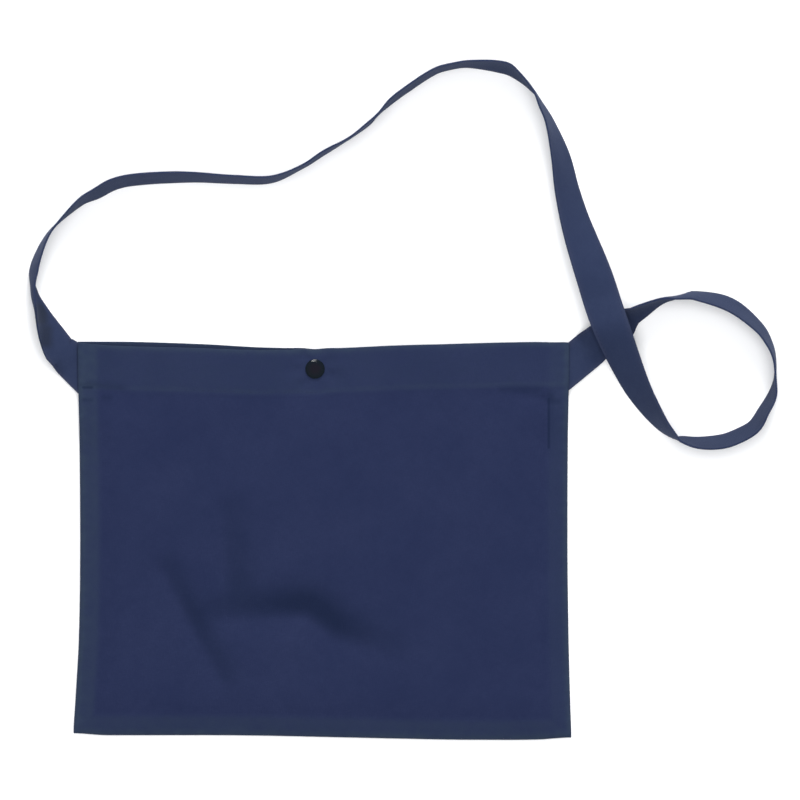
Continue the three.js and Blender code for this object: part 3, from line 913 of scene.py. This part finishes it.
# The strap as a band: where its middle layer runs, and which way its face looks, at any place
class StrapCourse:
    def __init__(self):
        stations = strapStations()
        self.length = stations[-1]["along"]
        self.x = curveThrough(stations, "along", "x", False)
        self.y = curveThrough(stations, "along", "y", False)
        self.roll = curveThrough(stations, "along", "roll")
        self.curl = curveThrough(stations, "along", "curl")
        self.lift = curveThrough(stations, "along", "lift")

    def point(self, s):
        return Vector((self.x(s), self.y(s), 0))

    def section(self, s):
        strap = strapSettings
        ahead = self.point(min(s + 0.001, self.length))
        heading = (ahead - self.point(max(s - 0.001, 0))).normalized()
        free = smoothStep(s, *strap["waverFrom"])
        free *= smoothStep(self.length - s, *strap["waverFrom"])
        waver = strap["waver"] * free * noise.noise(Vector((s * strap["waverPitch"], 0, 5)))
        return StrapSection(self.point(s), heading, self.roll(s) + waver, self.curl(s), self.lift(s), s)


# One section across the band, as wide as it looks from above and standing with its lowest point at its lift
class StrapSection:
    def __init__(self, place, heading, roll, curl, lift, s):
        self.heading = heading
        self.right = Vector((heading.y, -heading.x, 0))
        self.rollAngle = roll
        self.curlAngle = curl
        self.count = 4 * (strapSettings["facePoints"] - 1)
        self.s = s
        step = strapSettings["width"] / self.count
        self.points = [Vector((0, 0, 0))]
        for i in range(self.count):
            angle = self.turned((i + 0.5) / self.count - 0.5)
            rising = Vector((0, 0, math.sin(angle) * step))
            self.points.append(self.points[-1] - self.right * math.cos(angle) * step + rising)
        self.offset = Vector((0, 0, 0))
        outline = self.ring()
        sideways = [point.dot(self.right) for point in outline]
        shift = self.right * (-(min(sideways) + max(sideways)) / 2)
        self.offset = place + shift + Vector((0, 0, lift - min(point.z for point in outline)))

    def turned(self, v):
        return math.radians(self.rollAngle + self.curlAngle * v)

    def normal(self, v):
        angle = self.turned(v)
        return Vector((0, 0, math.cos(angle))) + self.right * math.sin(angle)

    # v runs from -0.5 at the inner edge to 0.5 at the outer one
    def middle(self, v):
        place = min(max((v + 0.5) * self.count, 0), self.count)
        i = min(int(place), self.count - 1)
        return self.points[i].lerp(self.points[i + 1], place - i)

    def halfThickness(self, v):
        strap = strapSettings
        fromEdge = (0.5 - abs(v)) * strap["width"]
        full = smoothStep(fromEdge, 0, strap["edgeTaper"])
        half = mix(strap["edgeThickness"], strap["thickness"], full) / 2
        fromStitch = fromEdge - strap["stitchInset"]
        dip = strap["stitchDip"] * bell(fromStitch, strap["stitchReach"])
        along, across = strap["unevenPitch"]
        uneven = strap["uneven"] * noise.noise(Vector((self.s * along, v * across, 2)))
        return min(half, half - dip + uneven)

    # Across the face, round the outer selvedge, back across the other face and round the inner one
    def ring(self):
        strap = strapSettings
        points = strap["facePoints"]
        half = strap["edgeThickness"] / 2
        inset = half / strap["width"]
        full, rounded = strap["edgeRound"]
        across = [inset - 0.5 + (1 - 2 * inset) * i / (points - 1) for i in range(points)]
        ring = []
        for side, order in ((1, across), (-1, across[::-1])):
            for v in order:
                ring.append(self.middle(v) + self.normal(v) * side * self.halfThickness(v) + self.offset)
            end = order[-1]
            tip = self.middle(end) + self.offset
            outwards = (self.middle(end) - self.middle(end - math.copysign(0.02, end))).normalized()
            for share in (-0.5, 0, 0.5):
                lean = self.normal(end) * (-side * share * 2 * half * rounded)
                ring.append(tip + outwards * half * math.sqrt(1 - share * share * full) + lean)
        return ring


def addMesh(name, points, faces):
    mesh = bpy.data.meshes.new(name)
    mesh.from_pydata(points, [], faces)
    piece = bpy.data.objects.new(name, mesh)
    bpy.context.collection.objects.link(piece)
    return piece


def addStrap():
    course = StrapCourse()
    count = round(course.length / strapSettings["step"])
    rings = [course.section(course.length * i / count).ring() for i in range(count + 1)]
    size = len(rings[0])
    points = [point for ring in rings for point in ring]
    faces = []
    for k in range(count):
        for i in range(size):
            a = k * size + i
            b = k * size + (i + 1) % size
            faces.append((a, a + size, b + size, b))
    faces.append(tuple(range(size)))
    faces.append(tuple(range(count * size, (count + 1) * size))[::-1])
    band = addMesh("strapBand", points, faces)

    # The weave follows the band's length and the way round its section
    middleRing = rings[len(rings) // 2]
    around = [0]
    for i in range(size):
        around.append(around[-1] + (middleRing[(i + 1) % size] - middleRing[i]).length)
    uv = band.data.uv_layers.new(name="bandUv")
    for k in range(count):
        for i in range(size):
            corners = ((i, k), (i, k + 1), (i + 1, k + 1), (i + 1, k))
            for loop, (across, along) in zip(band.data.polygons[k * size + i].loop_indices, corners):
                uv.data[loop].uv = (around[across], along * course.length / count)

    # Lighter along both selvedges: wear, and a painted sheen where the band's edges catch the light
    wornAndLit = []
    for index in range(len(points)):
        place = index % (size // 2) / (strapSettings["facePoints"] - 1)
        wornAndLit.append(strapSettings["wearAndLight"] * bell(min(place, abs(1 - place)), strapSettings["wearAndLightReach"]))
    band.data.attributes.new("wearAndLight", "FLOAT", "POINT").data.foreach_set("value", wornAndLit)
    activate(band)
    editAll(bpy.ops.mesh.normals_make_consistent, inside=False)
    bpy.ops.object.shade_smooth_by_angle(angle=math.radians(strapSettings["smoothAngle"]))
    band.data.materials.append(strapCotton)
    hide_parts("strap")
    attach(band, "root")
    return course


strapCourse = addStrap()
print("strap made, length", round(strapCourse.length, 3))

stitchSettings = {
    "length": 0.0026,
    "pitch": 0.0033,
    "radius": 0.00021,
    "flatness": 0.7,
    "sides": 6,
    "rings": 4,
    "stray": 0.05,  # how far a stitch may point off its line
    "bow": 0.25,
    "sunk": 0.35,
    "overFloor": 0.00003,  # the floor presses the lowest ones flat
    "hemShare": 0.985,  # of the mouth's width
    "strapMargin": 0.024,  # the strap's rows start this far from its ends
}


# One stitch is modelled, and its mesh is copied along each seam
def stitchShape():
    bpy.ops.mesh.primitive_uv_sphere_add(
        segments=stitchSettings["sides"], ring_count=stitchSettings["rings"], radius=stitchSettings["radius"]
    )
    stitch = bpy.context.object
    editAll(bpy.ops.transform.resize, value=(1, stitchSettings["flatness"], 1))
    stretch = stitchSettings["length"] / 2 - stitchSettings["radius"]
    points = []
    for vertex in stitch.data.vertices:
        end = 0 if abs(vertex.co.z) < 1e-6 else math.copysign(stretch, vertex.co.z)
        points.append((vertex.co.x, vertex.co.y, vertex.co.z + end))
    faces = [tuple(face.vertices) for face in stitch.data.polygons]
    bpy.data.objects.remove(stitch)
    return points, faces


stitchPoints, stitchFaces = stitchShape()


# Stitches lie along their course, half sunk in the cloth. Each place has its point, direction and normal.
def addStitches(name, places):
    points = []
    faces = []
    random.seed(len(places))
    for point, along, out in places:
        sideways = along.cross(out).normalized()
        stray = random.uniform(-stitchSettings["stray"], stitchSettings["stray"])
        along = (along + sideways * stray).normalized()
        sideways = along.cross(out).normalized()
        first = len(points)
        for x, y, z in stitchPoints:
            bow = stitchSettings["bow"] * (1 - (z / (stitchSettings["length"] / 2)) ** 2)
            sink = stitchSettings["radius"] * (bow - stitchSettings["sunk"])
            place = point + sideways * x + out * (y + sink) + along * z
            points.append((place.x, place.y, max(place.z, stitchSettings["overFloor"])))
        faces.extend(tuple(first + corner for corner in face) for face in stitchFaces)
    row = addMesh(name, points, faces)
    activate(row)
    editAll(bpy.ops.mesh.normals_make_consistent, inside=False)
    bpy.ops.object.shade_smooth()
    row.data.materials.append(sewingThread)
    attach(row, "root")
    return row


# The hem's row follows the panel at a set depth below the mouth
def hemPlaces(mouthLine, heightOf, outSign):
    places = []
    count = int(bagSizes["mouthWidth"] * stitchSettings["hemShare"] / stitchSettings["pitch"])

    def at(u):
        share = 1 - reliefSettings["stitchLine"] / bagSizes["height"]
        for _ in range(3):
            spot = PanelSpot(u, share, mouthLine)
            share += (spot.toMouth - reliefSettings["stitchLine"]) / bagSizes["height"]
        return Vector((spot.x, spot.y, heightOf(spot)))

    for i in range(count):
        u = stitchSettings["hemShare"] * ((i + 0.5) / count * 2 - 1)
        along = (at(u + 0.004) - at(u - 0.004)).normalized()
        out = Vector((0, 0, outSign)) - along * along.z * outSign
        places.append((at(u), along, out.normalized()))
    return places


# Two rows on one face of the strap, each beside a selvedge
def strapPlaces(side):
    places = []
    margin = stitchSettings["strapMargin"]
    count = int((strapCourse.length - 2 * margin) / stitchSettings["pitch"])
    inset = 0.5 - strapSettings["stitchInset"] / strapSettings["width"]
    for i in range(count):
        section = strapCourse.section(margin + (i + 0.5) * stitchSettings["pitch"])
        for v in (-inset, inset):
            out = section.normal(v) * side
            point = section.middle(v) + out * section.halfThickness(v) + section.offset
            places.append((point, section.heading, out))
    return places


frontStitches = addStitches("frontHemStitches", hemPlaces(frontLine, frontTop, 1))
backStitches = addStitches("backHemStitches", hemPlaces(backLine, backUnderside, -1))
addStitches("strapStitchesFace", strapPlaces(1))
addStitches("strapStitchesBack", strapPlaces(-1))
print("stitches made")

discSettings = {
    "blank": 0.0001,  # thickness of the cylinder that a disc is raised from
    "sides": 48,
    "capSides": 64,
    "capSteps": 9,
    "capRim": 0.00115,  # height of the cap's rim, under its dome
    "capCrown": 0.9,  # the dome's width as a share of the cap's
    "wellDepth": 0.62,  # of the socket's height
    "smoothAngle": 35,
}


# Discs of the snap: a cylinder is set on its place, and its end face is inset and raised ring by ring. Each
# ring is a share of the radius and a height.
def addDisc(name, node, radius, base, rings, finish, slot, sides=discSettings["sides"], post=0):
    bpy.ops.mesh.primitive_cylinder_add(
        vertices=sides,
        radius=radius * rings[0][0],
        depth=discSettings["blank"],
        location=(snapSettings["x"], snapY, base + discSettings["blank"] / 2),
    )
    disc = bpy.context.object
    disc.name = name
    disc.data.name = name
    bpy.ops.object.transform_apply(location=True, rotation=True, scale=True)
    bpy.ops.object.mode_set(mode="EDIT")
    bpy.ops.mesh.select_mode(type="FACE")
    bpy.ops.object.mode_set(mode="OBJECT")

    def pickEnd(up):
        for part in (*disc.data.vertices, *disc.data.edges):
            part.select = False
        for polygon in disc.data.polygons:
            polygon.select = polygon.normal.z * up > 0.9 and len(polygon.vertices) == sides

    def extrudeTo(scale, height):
        bpy.ops.object.mode_set(mode="EDIT")
        bpy.ops.mesh.extrude_region_move(TRANSFORM_OT_translate={"value": (0, 0, height)})
        bpy.ops.transform.resize(value=(scale, scale, 1), center_override=(snapSettings["x"], snapY, 0))
        bpy.ops.object.mode_set(mode="OBJECT")

    pickEnd(1)
    for before, ring in zip(rings, rings[1:]):
        extrudeTo(ring[0] / before[0], ring[1] - before[1])
    if post:
        pickEnd(math.copysign(1, post))
        extrudeTo(snapSettings["postRadius"] / (radius * rings[0 if post < 0 else -1][0]), 0)
        extrudeTo(1, post)
    activate(disc)
    bpy.ops.object.shade_smooth_by_angle(angle=math.radians(discSettings["smoothAngle"]))
    disc.data.materials.append(finish)
    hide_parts(node)
    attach(disc, "root")


def addSnap():
    s = snapSettings
    heights = snapHeights()
    through = doubled + bagSizes["clearance"]

    rim = discSettings["capRim"]
    crown = discSettings["capCrown"]
    steps = discSettings["capSteps"]
    dome = [(0.93, 0), (0.985, 0.00015), (1, 0.0005), (0.985, 0.00085), (0.94, 0.0011), (crown, rim)]
    for i in range(1, steps):
        angle = math.radians(90 * i / steps)
        dome.append((crown * math.cos(angle), rim + (s["capHeight"] - rim) * math.sin(angle)))
    cap = (s["capRadius"], heights["cap"], dome, blackEnamel, "snap_gloss")
    addDisc("snapCap", "snap_cap", *cap, sides=discSettings["capSides"], post=-through)

    height = s["backCapThickness"]
    plate = [(0.9, 0), (0.97, height * 0.12), (1, height * 0.4), (0.97, height * 0.8), (0.9, height)]
    backCap = (s["backCapRadius"], 0, plate, blackEnamel, "snap_gloss")
    addDisc("snapBackCap", "snap_back_cap", *backCap, post=through)

    height = s["socketHeight"]
    well = (s["knobRadius"] + bagSizes["clearance"]) / s["socketRadius"]
    bowl = [(well, height * discSettings["wellDepth"]), (well, discSettings["blank"]), (well * 1.04, 0)]
    bowl += [(0.9, 0), (0.97, height * 0.08), (1, height * 0.2)]
    bowl += [(1, height * 0.8), (0.97, height * 0.93), (0.9, height)]
    socket = (s["socketRadius"], heights["socket"], bowl, darkLacquer, "snap_metal")
    addDisc("snapSocket", "snap_socket", *socket)

    flange = s["studFlange"]
    knob = s["knobRadius"] / s["studRadius"]
    button = [(0.94, 0), (1, flange * 0.3), (1, flange * 0.7), (0.94, flange), (knob * 0.84, flange)]
    for width, share in ((0.8, 0.25), (1, 0.6), (0.93, 0.85), (0.7, 1)):
        button.append((knob * width, flange + s["knobHeight"] * share))
    addDisc("snapStud", "snap_stud", s["studRadius"], heights["stud"], button, darkLacquer, "snap_metal")


addSnap()
print("snap made")

# A pale floor in a soft, bright room. The glint light is seen only in what is glossy, and lights nothing.
stageSettings = {
    "floorSize": 9,
    "floorColor": (0.96, 0.96, 0.963, 1),
    "floorShade": (0.95, 0.95, 0.955, 1),
    "floorRoughness": 0.9,
    "grainScale": 3,
    "roomColor": (0.96, 0.98, 1, 1),
    "room": 0.62,
}

lightRows = table(
    ("name", "at", "size", "power", "lights", "mirrored"),
    ("keyLight", (0.35, 2.45, 1.45), (1.3, 1.3), 54, True, False),
    ("glintLight", (-0.3, 2.25, 1.8), (1.4, 0.6), 110, False, True),
    ("topLight", (0.1, 0.02, 3.2), (2.6, 2.6), 79, True, False),
)


def addStage():
    bpy.ops.mesh.primitive_grid_add(x_subdivisions=4, y_subdivisions=4, size=stageSettings["floorSize"])
    floor = bpy.context.object
    floor.name = "floor"
    paper = Finish("floorPaper")
    grain = paper.spots(paper.place["Object"], stageSettings["grainScale"], 2)
    tone = paper.blend(grain, stageSettings["floorColor"], stageSettings["floorShade"])
    paper.feed(paper.shader, {"Base Color": tone, "Roughness": stageSettings["floorRoughness"]})
    floor.data.materials.append(paper.material)
    world = bpy.data.worlds.new("softRoom")
    world.use_nodes = True
    background = world.node_tree.nodes["Background"]
    background.inputs["Color"].default_value = stageSettings["roomColor"]
    background.inputs["Strength"].default_value = stageSettings["room"]
    bpy.context.scene.world = world
    target = Vector(cameraSettings["middle"])
    for row in lightRows:
        at = Vector(row["at"])
        bpy.ops.object.light_add(type="AREA", location=at)
        light = bpy.context.object
        light.name = row["name"]
        light.data.shape = "ELLIPSE"
        light.data.size, light.data.size_y = row["size"]
        light.data.energy = row["power"]
        light.rotation_euler = (target - at).to_track_quat("-Z", "Y").to_euler()
        light.visible_camera = False
        light.visible_diffuse = row["lights"]
        light.visible_glossy = row["mirrored"]
    bpy.context.scene.view_settings.view_transform = "Standard"


addStage()
print("stage made")
